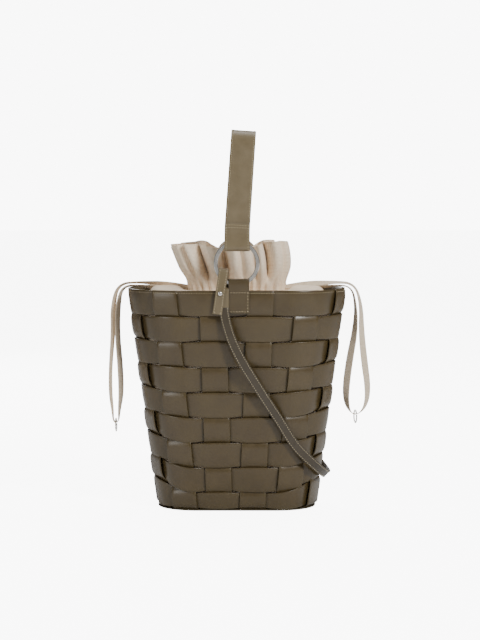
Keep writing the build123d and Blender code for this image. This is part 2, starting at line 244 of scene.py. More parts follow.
# %% Rails for straps and tapes
def smooth_line(points, cuts=12):
    """Points along the NURBS spline of a few control points."""
    curve = bpy.data.curves.new("line", "CURVE")
    curve.dimensions = "3D"
    spline = curve.splines.new("NURBS")
    spline.points.add(len(points) - 1)
    for control, spot in zip(spline.points, points):
        control.co = (*spot, 1)
    spline.order_u = 3
    spline.use_endpoint_u = True
    spline.resolution_u = cuts
    holder = bpy.data.objects.new("line", curve)
    bpy.context.scene.collection.objects.link(holder)
    mesh = bpy.data.meshes.new_from_object(holder)
    line = np.array([tuple(vertex.co) for vertex in mesh.vertices])
    bpy.data.objects.remove(holder)
    bpy.data.meshes.remove(mesh)
    return line


def unit(rows):
    return rows / np.linalg.norm(rows, axis=1, keepdims=True)


class Rail:
    """Line in space with a width direction and a facing direction at each point."""

    def __init__(self, points, widths):
        self.spots = smooth_line(points)
        along = unit(np.gradient(self.spots, axis=0))
        width = smooth_line(widths)
        width = width - along * np.sum(width * along, axis=1, keepdims=True)
        self.width = unit(width)
        self.facing = unit(np.cross(along, self.width))
        runs = np.linalg.norm(np.diff(self.spots, axis=0), axis=1)
        self.way = np.concatenate([[0], np.cumsum(runs)])
        self.length = self.way[-1]

    def read(self, rows, way):
        """Rows of three numbers, read at distances along the rail."""
        return np.stack([np.interp(way, self.way, rows[:, axis]) for axis in range(3)], axis=1)

    def place(self, x, y, z):
        """Where a flat strip's points go."""
        across = self.read(self.width, x)
        facing = self.read(self.facing, x)
        return self.read(self.spots, x) + across * y[:, None] + facing * z[:, None]


corner = Rail([(0, 0, 0), (0.1, 0, 0), (0.1, 0, 0.1)], [(0, 1, 0)] * 3)
print("a rail rounds a corner of 0.2 to", round(corner.length, 3))

# %% [markdown]
# The two drawstring tapes are flat woven linen. Each leaves the gathered neck, crosses the rim, hangs
# down through its small ring and comes back. Their routes are the ones that the measured model has.
# The tape stands on its edge at the neck, lies flat over the rim and turns again as it hangs, so the
# width directions along the route change from upright to sideways.

# %% Drawstring routes
LEFT_TAPE = [
    (-68.6, 304.4), (-96.0, 310.5), (-134.0, 313.6), (-165.5, 311.5), (-173.5, 281.0),
    (-173.2, 240.0), (-177.0, 196.0), (-177.3, 158.0), (-174.3, 133.0), (-173.2, 116.2),
    (-165.8, 116.2), (-165.0, 133.0), (-162.0, 158.0), (-163.3, 196.0), (-167.0, 238.0),
    (-166.6, 277.0), (-160.6, 308.8), (-131.0, 308.6), (-98.0, 304.4), (-68.6, 300.0),
]
RIGHT_TAPE = [
    (68.6, 304.4), (96.0, 310.5), (134.0, 313.6), (164.5, 312.0), (174.0, 283.0),
    (174.6, 243.0), (178.5, 204.0), (184.0, 166.0), (182.0, 142.0), (172.2, 128.0),
    (160.6, 128.0), (153.5, 144.0), (153.2, 168.0), (158.2, 206.0), (165.5, 244.0),
    (167.0, 279.0), (160.4, 308.9), (131.0, 308.6), (98.0, 304.4), (68.6, 300.0),
]
TAPE_WIDTH = 12 * MM
TAPE_THICK = 1.1 * MM
PINCH = 0.17
PINCH_REACH = 16 * MM
LEFT_TURNS = [68, 48, 14, 16, 30, 26, 18, 20, 10, 0, 0, -14, -34, -36, -32, -34, -14, -14, -48, -66]
RIGHT_TURNS = [68, 48, 14, 10, 24, 44, 52, 46, 30, 8, 0, 34, 52, 50, 36, 12, 6, 14, 46, 66]


def tape_rail(route, turns):
    """Rail of a tape: the width points back at 0 degrees and turns about the tape's own line."""
    points = [(x * MM, 0, z * MM) for x, z in route]
    ends = np.gradient(np.array(points), axis=0)
    widths = []
    for along, turn in zip(unit(ends), np.radians(turns)):
        side = np.cross(along, (0, 1, 0))
        widths.append(tuple(np.cos(turn) * np.array((0, 1, 0)) + np.sin(turn) * side))
    return Rail(points, widths), points


def tape(name, route, turns):
    """Flat linen tape along its route, drawn in a little where it passes through its ring."""
    rail, points = tape_rail(route, turns)
    piece = flat_strip(name, rail.length, TAPE_WIDTH, TAPE_THICK, 2 * MM, 0.3 * MM)
    lowest = rail.way[np.argmin(rail.spots[:, 2])]

    def place(x, y, z):
        pinch = 1 - PINCH * np.exp(-(((x - lowest) / PINCH_REACH) ** 2))
        return rail.place(x, y * pinch, z)

    move_points(piece, place)
    return piece, rail, points


left_tape, left_rail, left_points = tape("left_tape", LEFT_TAPE, LEFT_TURNS)
right_tape, right_rail, right_points = tape("right_tape", RIGHT_TAPE, RIGHT_TURNS)
print("tapes", round(left_rail.length, 4), round(right_rail.length, 4))

# %% [markdown]
# Materials come next. They are trees of nodes, and a few small helpers keep them readable: one makes
# a group with named sockets, and the others add a texture, a sum, a colour mix or a change of range
# with its links already in place.

# %% Node helpers
def new_group(name, inputs, outputs):
    """Shader node group with named inputs and outputs."""
    group = bpy.data.node_groups.new(name, "ShaderNodeTree")
    for label, kind, value in inputs:
        socket = group.interface.new_socket(label, in_out="INPUT", socket_type=kind)
        if value is not None:
            socket.default_value = value
    for label, kind in outputs:
        group.interface.new_socket(label, in_out="OUTPUT", socket_type=kind)
    start = group.nodes.new("NodeGroupInput")
    end = group.nodes.new("NodeGroupOutput")
    return group, start, end


def texture(group, kind, vector, scale, detail=2.0):
    """Noise or Voronoi texture on a vector."""
    node = group.nodes.new(kind)
    node.inputs["Scale"].default_value = scale
    if kind == "ShaderNodeTexNoise":
        node.inputs["Detail"].default_value = detail
    group.links.new(vector, node.inputs["Vector"])
    return node


def maths(group, operation, first, second=None, third=None):
    """Math node whose inputs are sockets or numbers."""
    node = group.nodes.new("ShaderNodeMath")
    node.operation = operation
    for socket, value in zip(node.inputs, (first, second, third)):
        if value is None:
            continue
        if isinstance(value, (int, float)):
            socket.default_value = value
        else:
            group.links.new(value, socket)
    return node.outputs[0]


def mix_colour(group, factor, first, second):
    """Colour mix of two sockets or colours."""
    node = group.nodes.new("ShaderNodeMix")
    node.data_type = "RGBA"
    group.links.new(factor, node.inputs["Factor"])
    for socket, value in ((node.inputs[6], first), (node.inputs[7], second)):
        if isinstance(value, tuple):
            socket.default_value = value
        else:
            group.links.new(value, socket)
    return node.outputs[2]


def stretch(group, value, low, high):
    """Value mapped from low..high to 0..1."""
    node = group.nodes.new("ShaderNodeMapRange")
    node.inputs["From Min"].default_value = low
    node.inputs["From Max"].default_value = high
    group.links.new(value, node.inputs["Value"])
    return node.outputs["Result"]


print("node groups so far", len(bpy.data.node_groups))

# %% [markdown]
# Leather shows three things at this distance: a fine pebbled grain, a slow drift of tone along each
# strip, and a soft gloss. One node group makes the grain and the drift, and each leather uses it with
# its own colours. The patterns read the UV map, which is in metres on every strip, so the grain has
# one size all over the bag. Voronoi cells are the pores, and noise at three sizes makes the creases,
# the blotches and the drift.

# %% Leather grain group
def build_leather_group():
    """Grain height, tone and roughness of a leather surface."""
    group, start, end = new_group(
        "leather_surface",
        [("Vector", "NodeSocketVector", None), ("Light", "NodeSocketColor", (0.2, 0.18, 0.14, 1)),
         ("Dark", "NodeSocketColor", (0.1, 0.09, 0.07, 1)),
         ("Roughness", "NodeSocketFloat", 0.45)],
        [("Color", "NodeSocketColor"), ("Roughness", "NodeSocketFloat"),
         ("Height", "NodeSocketFloat")],
    )
    vector = start.outputs["Vector"]
    pores = texture(group, "ShaderNodeTexVoronoi", vector, 1300)
    creases = texture(group, "ShaderNodeTexNoise", vector, 520, 2)
    drift = texture(group, "ShaderNodeTexNoise", vector, 16, 3)
    blotch = texture(group, "ShaderNodeTexNoise", vector, 75, 3)
    tone = maths(group, "MULTIPLY_ADD", blotch.outputs[0], 0.35,
                 maths(group, "MULTIPLY", drift.outputs[0], 0.65))
    colour = mix_colour(group, stretch(group, tone, 0.3, 0.7), start.outputs["Dark"],
                        start.outputs["Light"])
    height = maths(group, "MULTIPLY_ADD", creases.outputs[0], 0.3, pores.outputs["Distance"])
    rough = maths(group, "MULTIPLY_ADD", maths(group, "SUBTRACT", blotch.outputs[0], 0.5), 0.22,
                  start.outputs["Roughness"])
    group.links.new(colour, end.inputs["Color"])
    group.links.new(rough, end.inputs["Roughness"])
    group.links.new(height, end.inputs["Height"])
    return group


leather_group = build_leather_group()
print("group", leather_group.name)

# %% [markdown]
# The bag has one hide. The woven strips show its own darkest olive. The handle and the strap's folded
# ends use a paler copy of it, a painted highlight for the light that they catch, and the long strap
# run uses a darker, greyer copy, painted shade. The cut edge of a strip shows the raw, pale middle of
# the hide, painted paler still as a highlight line, so it is a material of its own on the strip's
# second slot. Colours are named as on a screen and turned into the linear values that the shader
# reads.

# %% Leathers and cut edge
def srgb(red, green, blue):
    """Colour as a designer names it, from 0 to 255, in Blender's linear values."""
    values = np.array([red, green, blue]) / 255
    linear = np.where(values <= 0.04045, values / 12.92, ((values + 0.055) / 1.055) ** 2.4)
    return (*[float(value) for value in linear], 1.0)


def plain_material(name, roughness, bump_depth, bump_strength=1.0):
    """New material with its tree, shader and a bump node on the shader's normal."""
    material = bpy.data.materials.new(name)
    material.use_nodes = True
    tree = material.node_tree
    shader = tree.nodes["Principled BSDF"]
    shader.inputs["Roughness"].default_value = roughness
    bump = tree.nodes.new("ShaderNodeBump")
    bump.inputs["Distance"].default_value = bump_depth
    bump.inputs["Strength"].default_value = bump_strength
    tree.links.new(bump.outputs["Normal"], shader.inputs["Normal"])
    return material, tree, shader, bump


def surface_vector(tree, use_uv):
    """Vector of the piece's own UV map, or of its object coordinates."""
    source = tree.nodes.new("ShaderNodeTexCoord")
    return source.outputs["UV" if use_uv else "Object"]


def use_group(material_parts, surface, light, dark, use_uv=True):
    """Feed a material's colour and bump from a surface group."""
    _, tree, shader, bump = material_parts
    group = tree.nodes.new("ShaderNodeGroup")
    group.node_tree = surface
    group.inputs["Light"].default_value = light
    group.inputs["Dark"].default_value = dark
    tree.links.new(surface_vector(tree, use_uv), group.inputs["Vector"])
    tree.links.new(group.outputs["Color"], shader.inputs["Base Color"])
    tree.links.new(group.outputs["Height"], bump.inputs["Height"])
    return group


def leather(name, light, dark, roughness, grain=0.00012, use_uv=True):
    """Leather with its grain, tone and gloss."""
    parts = plain_material(name, roughness, grain, 0.2)
    material, tree, shader, _ = parts
    group = use_group(parts, leather_group, light, dark, use_uv)
    group.inputs["Roughness"].default_value = roughness
    tree.links.new(group.outputs["Roughness"], shader.inputs["Roughness"])
    shader.inputs["Specular IOR Level"].default_value = 0.5
    return material


woven_leather = leather("woven_leather", srgb(80, 67, 41), srgb(67, 55, 33), 0.34)
# paler copy of the hide: painted highlight for the light on the handle and the strap's folded ends
lit_handle_leather = leather("lit_handle_leather", srgb(112, 99, 74), srgb(100, 88, 64), 0.36)
# darker, greyer copy of the same hide: painted shade on the long strap run
strap_leather = leather("strap_leather", srgb(64, 56, 42), srgb(56, 48, 35), 0.42)
lining_leather = leather("lining_leather", srgb(86, 76, 55), srgb(74, 64, 45), 0.6)
# raw pale edge of the hide, partly its own colour and partly a painted highlight: brighter than raw
# hide so edges read as lit lines
edge_and_highlight_leather = leather("cut_edge_and_highlight", srgb(206, 192, 156), srgb(172, 158, 124), 0.7, 0.0002)
panel_leather = leather("panel_leather", srgb(92, 84, 66), srgb(78, 70, 54), 0.55, use_uv=False)
print("leathers", [m.name for m in bpy.data.materials if "leather" in m.name])

# %% [markdown]
# Linen is a plain weave of uneven threads. Two wave patterns across each other make the threads, and
# noise makes some thicker and some paler. It is drawn on the UV map, so the threads turn with each
# fold. The tape is the same yarn in a tighter weave.

# %% Linen group and cloths
def threads(group, vector, direction, scale, wobble):
    """Rounded threads that run one way."""
    node = group.nodes.new("ShaderNodeTexWave")
    node.wave_type = "BANDS"
    node.bands_direction = direction
    node.inputs["Scale"].default_value = scale
    node.inputs["Distortion"].default_value = wobble
    node.inputs["Detail"].default_value = 2
    node.inputs["Detail Scale"].default_value = 2
    group.links.new(vector, node.inputs["Vector"])
    return node.outputs["Fac"]


def build_linen_group():
    """Thread height and colour of plain woven cloth."""
    group, start, end = new_group(
        "linen_surface",
        [("Vector", "NodeSocketVector", None), ("Light", "NodeSocketColor", (0.7, 0.65, 0.55, 1)),
         ("Dark", "NodeSocketColor", (0.45, 0.4, 0.32, 1))],
        [("Color", "NodeSocketColor"), ("Height", "NodeSocketFloat")],
    )
    vector = start.outputs["Vector"]
    warp = threads(group, vector, "X", 150, 1.4)
    weft = threads(group, vector, "Y", 150, 1.4)
    slub = texture(group, "ShaderNodeTexNoise", vector, 260, 4)
    cloud = texture(group, "ShaderNodeTexNoise", vector, 22, 3)
    cross = maths(group, "MULTIPLY", maths(group, "ADD", warp, weft), 0.5)
    tone = maths(group, "MULTIPLY_ADD", cross, 0.45,
                 maths(group, "MULTIPLY_ADD", slub.outputs[0], 0.4,
                       maths(group, "MULTIPLY", cloud.outputs[0], 0.3)))
    colour = mix_colour(group, stretch(group, tone, 0.3, 0.75), start.outputs["Dark"],
                        start.outputs["Light"])
    group.links.new(colour, end.inputs["Color"])
    group.links.new(cross, end.inputs["Height"])
    return group


linen_group = build_linen_group()


def cloth(name, light, dark):
    """Matt woven cloth with a little sheen."""
    parts = plain_material(name, 0.9, 0.0003, 0.5)
    use_group(parts, linen_group, light, dark)
    parts[2].inputs["Sheen Weight"].default_value = 0.25
    return parts[0]


linen = cloth("pouch_linen_cloth", srgb(252, 236, 212), srgb(214, 188, 156))
tape_linen = cloth("tape_cloth", srgb(232, 214, 188), srgb(190, 170, 142))
thread_linen = cloth("sewing_thread", srgb(186, 172, 142), srgb(150, 138, 110))
print("cloths", linen.name, tape_linen.name)

# %% [markdown]
# The rings and studs are polished steel. Real polish is never a perfect mirror: fine scratches from
# wear blur it here and there, which noise on the roughness and a faint bump give. The board in the
# base is grey, fibrous and hardly seen, so noise on its colour and bump is enough. These parts are
# already the right shape in the measured model, so they only get a material.

# %% Steel and board
def polished_steel(name, colour, roughness):
    """Polished metal with fine wear."""
    material, tree, shader, bump = plain_material(name, roughness, 0.00005, 0.08)
    shader.inputs["Base Color"].default_value = colour
    shader.inputs["Metallic"].default_value = 1
    vector = surface_vector(tree, False)
    smear = texture(tree, "ShaderNodeTexNoise", vector, 140, 5)
    scratch = texture(tree, "ShaderNodeTexNoise", vector, 900, 3)
    rough = maths(tree, "MULTIPLY_ADD", smear.outputs[0], 0.16, roughness - 0.08)
    tree.links.new(rough, shader.inputs["Roughness"])
    tree.links.new(scratch.outputs[0], bump.inputs["Height"])
    return material


steel = polished_steel("polished_steel", srgb(244, 241, 234), 0.24)
dress_nodes(steel, "front_ring", "rear_ring", "left_tape_ring", "right_tape_ring",
            "front_strap_stud", "rear_strap_stud")
board, board_tree, board_shader, board_bump = plain_material("grey_board", 0.8, 0.0002)
board_noise = texture(board_tree, "ShaderNodeTexNoise", surface_vector(board_tree, False), 300, 4)
board_tree.links.new(board_noise.outputs[0], board_bump.inputs["Height"])
board_tint = mix_colour(board_tree, board_noise.outputs[0], srgb(150, 138, 116), srgb(128, 116, 96))
board_tree.links.new(board_tint, board_shader.inputs["Base Color"])
dress_nodes(board, "base_board")
dress_nodes(panel_leather, "base_panel")
print("steel on rings and studs, board and leather in the base")

# %% [markdown]
# The basket is oval in plan, with two straight sides and two round ends, and it widens from the base
# to the rim. Its measures are read from the model's own boxes. One function then gives the place of
# any spot on the wall from how far round it is, how high, and how far out from the wall's face.

# %% The basket's wall
LEATHER = 1.6 * MM
MIDDLE_DEPTH = 2.8 * MM
ROW = 34.9 * MM
ROWS = 9
STRIPS = 12
STRIP = 36 * MM

band_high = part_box("weft_band_1")[1]
panel_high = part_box("base_panel")[1]
RIM = band_high[2]
TOP_RADIUS = band_high[1] + 2.0 * MM
TOP_HALF = band_high[0] - band_high[1]
FOOT_RADIUS = panel_high[1] + 0.8 * MM
FOOT_HALF = panel_high[0] - panel_high[1]


def half_at(z):
    return FOOT_HALF + (TOP_HALF - FOOT_HALF) * z / RIM


def radius_at(z):
    return FOOT_RADIUS + (TOP_RADIUS - FOOT_RADIUS) * z / RIM


def girth_at(z):
    return 4 * half_at(z) + 2 * np.pi * radius_at(z)


def oval_spot(share, half, radius, out):
    """X and Y round an oval with straight sides, at a distance outwards from it."""
    bend = np.pi * radius
    way = np.mod(share, 1.0) * (4 * half + 2 * bend)
    right = (way - half) / radius
    left = (way - 3 * half - bend) / radius
    side = radius + out
    legs = [way < half, way < half + bend, way < 3 * half + bend, way < 3 * half + 2 * bend]
    x = np.select(legs, [way, half + side * np.sin(right), 2 * half + bend - way,
                         -half - side * np.sin(left)], way - 4 * half - 2 * bend)
    y = np.select(legs, [-side, -side * np.cos(right), side, side * np.cos(left)], -side)
    return x, y


def wall_spot(share, z, out):
    """Places on the wall from the share of the way round, the height and the distance outwards."""
    x, y = oval_spot(share, half_at(z), radius_at(z), out)
    return np.stack([x, y, z], axis=1)


print("rim half width", round(TOP_HALF + TOP_RADIUS, 4), "girth", round(girth_at(RIM), 3))

# %% [markdown]
# Plain weave means that each strip passes over one crossing strip and under the next. Seen from the
# edge, every strip is a wave: the level bands wave round the basket, the upright strips wave up and
# down it, and at each crossing one is out where the other is in. A flattened cosine makes that wave,
# so the strips lie flat across a crossing and bend between crossings.

# %% Over and under
SWING = 2.7 * MM


def smooth_step(value, low, high):
    """Smooth change from 0 to 1 between two values."""
    share = np.clip((value - low) / (high - low), 0, 1)
    return share * share * (3 - 2 * share)


def flat_wave(angle, sharp):
    """Cosine wave with flattened tops."""
    return np.tanh(sharp * np.cos(angle)) / np.tanh(sharp)


def level_swing(share, row):
    """How far out a level band is, from -1 to 1, round its row."""
    sign = -1 if row % 2 == 1 else 1
    return sign * flat_wave(np.pi * (share * STRIPS - 0.5), 1.15)


def upright_swing(z, strip):
    """How far out an upright strip is, from -1 to 1, down its length."""
    sign = 1 if strip % 2 == 0 else -1
    return sign * flat_wave(np.pi * ((RIM - z) / ROW - 0.5), 2.2)


def settle(z):
    """The weave lies closer where it is sewn at the rim and where it turns in at the foot."""
    return (1 - 0.5 * np.exp(-np.maximum(RIM - z, 0) / (7 * MM))
            - 0.4 * np.exp(-np.maximum(z, 0) / (9 * MM)))


print("at a crossing the two strips lie", round(2000 * SWING, 1), "mm apart, middle to middle")

# %% [markdown]
# A leather strip cut straight can't follow a cone: laid flat on it, the strip climbs. So the bands
# are level in front and behind, and they ride up at the round ends, most near the foot. This is a
# function of the place on the wall, because the upright strips have to meet the bands where they are.

# %% How the bands ride up
SIDE_RISE = 21 * MM


def side_rise(share, z):
    """How far the bands ride up at the round ends, most near the foot and not at all in front."""
    half, radius = half_at(z), radius_at(z)
    bend = np.pi * radius
    way = np.mod(share, 1.0) * (4 * half + 2 * bend)
    angle = np.clip(np.mod(way - half, 2 * half + bend) / radius, 0, np.pi)
    low = np.clip(1 - z / RIM, 0, 1) ** 1.45 * smooth_step(z, 0, 17 * MM)
    return SIDE_RISE * low * np.sin(angle) ** 2 * (1 - 0.35 * np.sin(angle) ** 2) / 0.65


side_share = (half_at(RIM / 4) + np.pi * radius_at(RIM / 4) / 2) / girth_at(RIM / 4)
print("rise at the side, low down", side_rise(np.array([side_share]), np.array([RIM / 4])).round(4))

# %% [markdown]
# Each level band is one flat strip laid round the basket, a little crowned across its width. Where a
# band lies outside it widens a little and hides the edges of its neighbours. The join is placed under
# an upright strip at the back. A seeded random number shifts and tips each band a little, as hand
# work does, and gives the same bag on every run.

# %% Level bands
rng = np.random.default_rng(7)
ROW_GAP = 1.8 * MM


def level_band(row):
    """One level band of the weave."""
    top = RIM - ROW * (row - 1)
    foot = max(top - ROW, 3.0 * MM)
    gap = ROW_GAP if row > 1 else 0
    width = top - foot - gap
    middle = (top + foot - gap) / 2
    girth = girth_at(middle)
    join = 0.5 + (0.5 if row % 2 == 1 else 1.5) / STRIPS
    lift, lean = rng.normal(0, 0.15 * MM), rng.normal(0, 0.008)
    band = flat_strip(f"level_band_{row}", girth, width, LEATHER, 3.6 * MM, 0.6 * MM, row * 3.7)

    def place(x, y, z):
        share = x / girth + join
        height = middle + y
        swing = SWING * settle(height) * level_swing(share, row)
        crown = 0.35 * MM * (1 - (2 * y / width) ** 2)
        tilt = (0.012 - lean) * y
        wander = 0.25 * MM * np.sin(2 * np.pi * share * 5 + row * 1.3)
        out = -MIDDLE_DEPTH + swing + crown + tilt + lift + wander + z
        bow = 0.9 * MM * level_swing(share, row) * (2 * y / width) * (row > 1)
        rise = side_rise(share, height) + bow
        return wall_spot(share, height + rise + 0.3 * MM * np.sin(2 * np.pi * share * 3 + row), out)

    move_points(band, place)
    return band


for row in range(1, ROWS + 1):
    finish_piece(level_band(row), "bag", [woven_leather, edge_and_highlight_leather],
                 [f"weft_band_{row}"])

# %% [markdown]
# The upright strips are straight pieces of leather. Where one lies outside, it stays flatter than the
# curved band behind it, and its edges stand off a little, which gives the dark gaps at the round ends.
# At the foot each strip turns in under the base board.

# %% Upright strips
TURN_IN = 2.6 * MM
TURN_RADIUS = 3.2 * MM


def upright_strip(strip):
    """One upright strip, from the rim down and in under the base."""
    share = (strip + 0.5) / STRIPS
    run = RIM - TURN_IN - TURN_RADIUS
    length = run + TURN_RADIUS * np.pi / 2 + 7 * MM
    piece = flat_strip(f"upright_strip_{strip + 1:02d}", length, STRIP, LEATHER, 4 * MM,
                       0.6 * MM, 40 + strip * 2.9)
    shift, skew = rng.normal(0, 0.4 * MM), rng.normal(0, 0.004)

    def place(x, y, z):
        corner = np.clip((x - run) / TURN_RADIUS, 0, np.pi / 2)
        inwards = np.maximum(x - run - TURN_RADIUS * np.pi / 2, 0)
        height = RIM - np.minimum(x, run) - (TURN_RADIUS - z) * np.sin(corner)
        depth = TURN_RADIUS * (1 - np.cos(corner)) + inwards
        level = np.clip(height, 0, RIM)
        even = level - side_rise(share, level)
        even = level - side_rise(share, even)
        swing = upright_swing(even, strip)
        outside = np.where(x > run, 1.0, 0.5 + 0.5 * swing)
        out = -MIDDLE_DEPTH + SWING * settle(level) * swing + z * np.cos(corner) - depth
        side = y + shift + skew * x
        near = np.full_like(y, share)
        curved = wall_spot(near + side / girth_at(level), level, out)
        centre = wall_spot(near, level, out)
        ahead = wall_spot(near + 0.001, level, out)
        flat = centre + unit(ahead - centre) * side[:, None]
        flatter = (0.55 * outside)[:, None]
        spot = flat * flatter + curved * (1 - flatter)
        spot[:, 2] = height
        return spot

    move_points(piece, place)
    return piece


for strip in range(STRIPS):
    quarter = strip // 3
    place_in_quarter = (strip % 3, 2 - strip % 3)[quarter % 2]
    block = {0: 3, 1: 9, 2: 6, 3: 0}[quarter]
    node = f"warp_strip_{block + place_in_quarter + 1:02d}"
    finish_piece(upright_strip(strip), "bag", [woven_leather, edge_and_highlight_leather], [node])

# %% [markdown]
# Stitches are small, but the eye expects them. One stitch is a short bead of thread, modelled once
# and copied along a seam. Seams are planned on the flat strip and bent with it, so the stitches sit
# in the leather just as the strap lies.

# %% Stitches
STITCH_PITCH = 3.4 * MM
STITCH_LIFT = 0.08 * MM


def stitch_pattern():
    """Points and faces of one stitch, lying along X."""
    deselect()
    bpy.ops.mesh.primitive_uv_sphere_add(segments=6, ring_count=4, radius=0.5)
    bead = bpy.context.object
    bpy.ops.object.mode_set(mode="EDIT")
    bpy.ops.mesh.select_all(action="SELECT")
    bpy.ops.transform.resize(value=(2.0 * MM, 1.0 * MM, 0.8 * MM), center_override=(0, 0, 0))
    bpy.ops.object.mode_set(mode="OBJECT")
    points = np.array([tuple(vertex.co) for vertex in bead.data.vertices])
    faces = [list(face.vertices) for face in bead.data.polygons]
    bpy.data.objects.remove(bead)
    return points, faces


BEAD_POINTS, BEAD_FACES = stitch_pattern()


def seam(name, spots, across=()):
    """Stitches at flat places: spots run along X, and those listed in across run along Y."""
    points, faces = [], []
    for spot in spots:
        points.append(BEAD_POINTS + spot)
    for spot in across:
        points.append(BEAD_POINTS[:, [1, 0, 2]] * (-1, 1, 1) + spot)
    for number in range(len(points)):
        start = number * len(BEAD_POINTS)
        faces += [[corner + start for corner in face] for face in BEAD_FACES]
    mesh = bpy.data.meshes.new(name)
    mesh.from_pydata(np.concatenate(points).tolist(), [], faces)
    piece = bpy.data.objects.new(name, mesh)
    bpy.context.scene.collection.objects.link(piece)
    set_uv(piece, lambda spot: (spot.x, spot.y))
    return piece


def along_edge(start, end, y, z):
    """Even stitches along X between two places."""
    count = max(2, round((end - start) / STITCH_PITCH))
    return [(x, y, z) for x in np.linspace(start, end, count)]


def along_edges(start, end, side, z):
    """Even stitches along both long edges of a strap."""
    return along_edge(start, end, side, z) + along_edge(start, end, -side, z)


def along_width(x, half, z):
    """Even stitches along Y at one place."""
    count = max(2, round(2 * half / STITCH_PITCH))
    return [(x, y, z) for y in np.linspace(-half, half, count)]


print("stitch faces", len(BEAD_FACES))

# %% [markdown]
# The rim is sewn all round, just under its edge. Its stitches follow whichever strip lies outermost,
# so each is placed on the wave of the band or on the flat of the upright strip. The facing band
# inside covers the ends of the strips, and is one more flat strip laid round.

# %% Rim
FACING_INSET = 6.8 * MM


def rim_surface(share):
    """How far out the outermost leather is at the rim, from -1 to 1."""
    nearest = np.round((share * STRIPS - 0.5) / 2) * 2
    distance = np.abs(share * STRIPS - 0.5 - nearest) / STRIPS * girth_at(RIM)
    return np.maximum(level_swing(share, 1), np.where(distance < STRIP / 2, 1.0, -1.0))


def rim_stitches():
    """Row of stitches round the rim."""
    girth = girth_at(RIM)
    drop = 3.6 * MM
    piece = seam("rim_stitches", along_edge(0, girth - STITCH_PITCH, 0, 0))

    def place(x, y, z):
        share = x / girth
        height = RIM - drop + y
        swing = SWING * settle(height) * rim_surface(share)
        wander = 0.25 * MM * np.sin(2 * np.pi * share * 5 + 1.3)
        return wall_spot(share, height, -MIDDLE_DEPTH + swing + wander + LEATHER / 2 + z)

    move_points(piece, place)
    return piece


def rim_facing():
    """Leather band sewn inside the rim."""
    low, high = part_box("rim_facing")
    width = high[2] - low[2]
    middle = (high[2] + low[2]) / 2
    girth = girth_at(middle)
    band = flat_strip("rim_lining_band", girth, width, 1.3 * MM, 5 * MM, 0.4 * MM, 61)
    move_points(band, lambda x, y, z: wall_spot(x / girth + 0.5, middle + y, z - FACING_INSET))
    return band


finish_piece(rim_stitches(), "bag", [thread_linen])
finish_piece(rim_facing(), "bag", [lining_leather, edge_and_highlight_leather], ["rim_facing"])

# %% [markdown]
# Each ring is held by a folded leather tab. The tab goes up the front, over the ring's lower edge and
# down inside, and a stitched patch fixes it to the wall. Front and rear are made by the same function,
# with a mirror across the bag. A mirror turns faces inside out, so they are turned back.

# %% Ring tabs
TAB = 34.5 * MM
TAB_LEATHER = 1.8 * MM
ring_low, ring_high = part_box("front_ring")
RING_Y = (ring_low[1] + ring_high[1]) / 2
RING_Z = (ring_low[2] + ring_high[2]) / 2
RING_OUT = (ring_high[2] - ring_low[2]) / 2
FOLD_HALF = 5.9 * MM
tab_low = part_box("front_ring_tab")[0]


def turn_to_rear(piece):
    """Mirror a front piece to the rear of the bag and turn its faces out again."""
    move_points(piece, lambda x, y, z: np.stack([x, -y, z], axis=1))
    piece.data.flip_normals()


def tab_rail():
    """Line of the tab, from the foot of its patch, over the fold and down inside."""
    foot, inner = tab_low[2], RIM - 23 * MM
    outer_gap, inner_gap = 1.3 * MM, -8.7 * MM
    front, back = RING_Y - FOLD_HALF, RING_Y + FOLD_HALF
    fold = RIM + 15.4 * MM
    route = [
        (foot, -(radius_at(foot) + outer_gap)),
        (RIM - 14 * MM, -(radius_at(RIM - 14 * MM) + outer_gap)),
        (RIM - 1 * MM, -(radius_at(RIM) + outer_gap)), (RIM + 8 * MM, front),
        (fold - 5 * MM, front), (fold, front), (fold, back),
        (fold - 5 * MM, back), (RIM + 8 * MM, back),
        (RIM - 2 * MM, -(radius_at(RIM) + inner_gap)), (inner, -(radius_at(inner) + inner_gap)),
    ]
    points = [(0, y, z) for z, y in route]
    return Rail(points, [(-1, 0, 0)] * len(points))


def narrow_beside_strap(x, y, rail):
    """The tab is cut away on one side above the rim, where the strap passes."""
    height = rail.read(rail.spots, x)[:, 2]
    cut = 6.2 * MM * np.clip((height - RIM - 0.5 * MM) / (3 * MM), 0, 1)
    side = np.clip(y / (TAB / 2), 0, 1)
    return y - cut * side


def ring_tab(front):
    """Folded tab and its stitches."""
    name = "front" if front else "rear"
    rail = tab_rail()
    piece = flat_strip(f"{name}_tab", rail.length, TAB, TAB_LEATHER, 1.6 * MM, 0.4 * MM, 70 + front)
    face = TAB_LEATHER / 2 + 0.1 * MM
    patch = RIM - 3 * MM - tab_low[2]
    side = TAB / 2 - 2.2 * MM
    spots = along_edges(3 * MM, patch, side, face)
    rows = along_width(2.6 * MM, side, face) + along_width(patch + 0.6 * MM, side, face)
    stitches = seam(f"{name}_tab_stitches", spots, rows)
    for thing in (piece, stitches):
        move_points(thing, lambda x, y, z: rail.place(x, narrow_beside_strap(x, y, rail), z))
        if not front:
            turn_to_rear(thing)
    finish_piece(piece, "bag", [woven_leather, edge_and_highlight_leather], [f"{name}_ring_tab"])
    finish_piece(stitches, "bag", [thread_linen])


ring_tab(True)
ring_tab(False)

# %% [markdown]
# The handle is one wide leather strap that folds through both rings and is sewn to itself. From the
# front one sees the short turned-up end, with two rows of stitches, and above it the long leg. The
# handle leans a little to the right, as it does when a soft handle is lifted by hand.

# %% Line of the handle
HANDLE_LEATHER = 1.8 * MM
HANDLE_LEAN = 3.9
handle_low, handle_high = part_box("handle_strap")
TURN_UP = RING_Z + RING_OUT + 22.8 * MM
CROWN_TOP = handle_high[2] - HANDLE_LEATHER / 2


def leaned(y, z):
    """Place on the handle's line, shifted sideways by its lean above the rings."""
    rise = max(z - TURN_UP + 8 * MM, 0)
    return (0.6 * MM + rise * np.tan(np.radians(HANDLE_LEAN)), y, z)


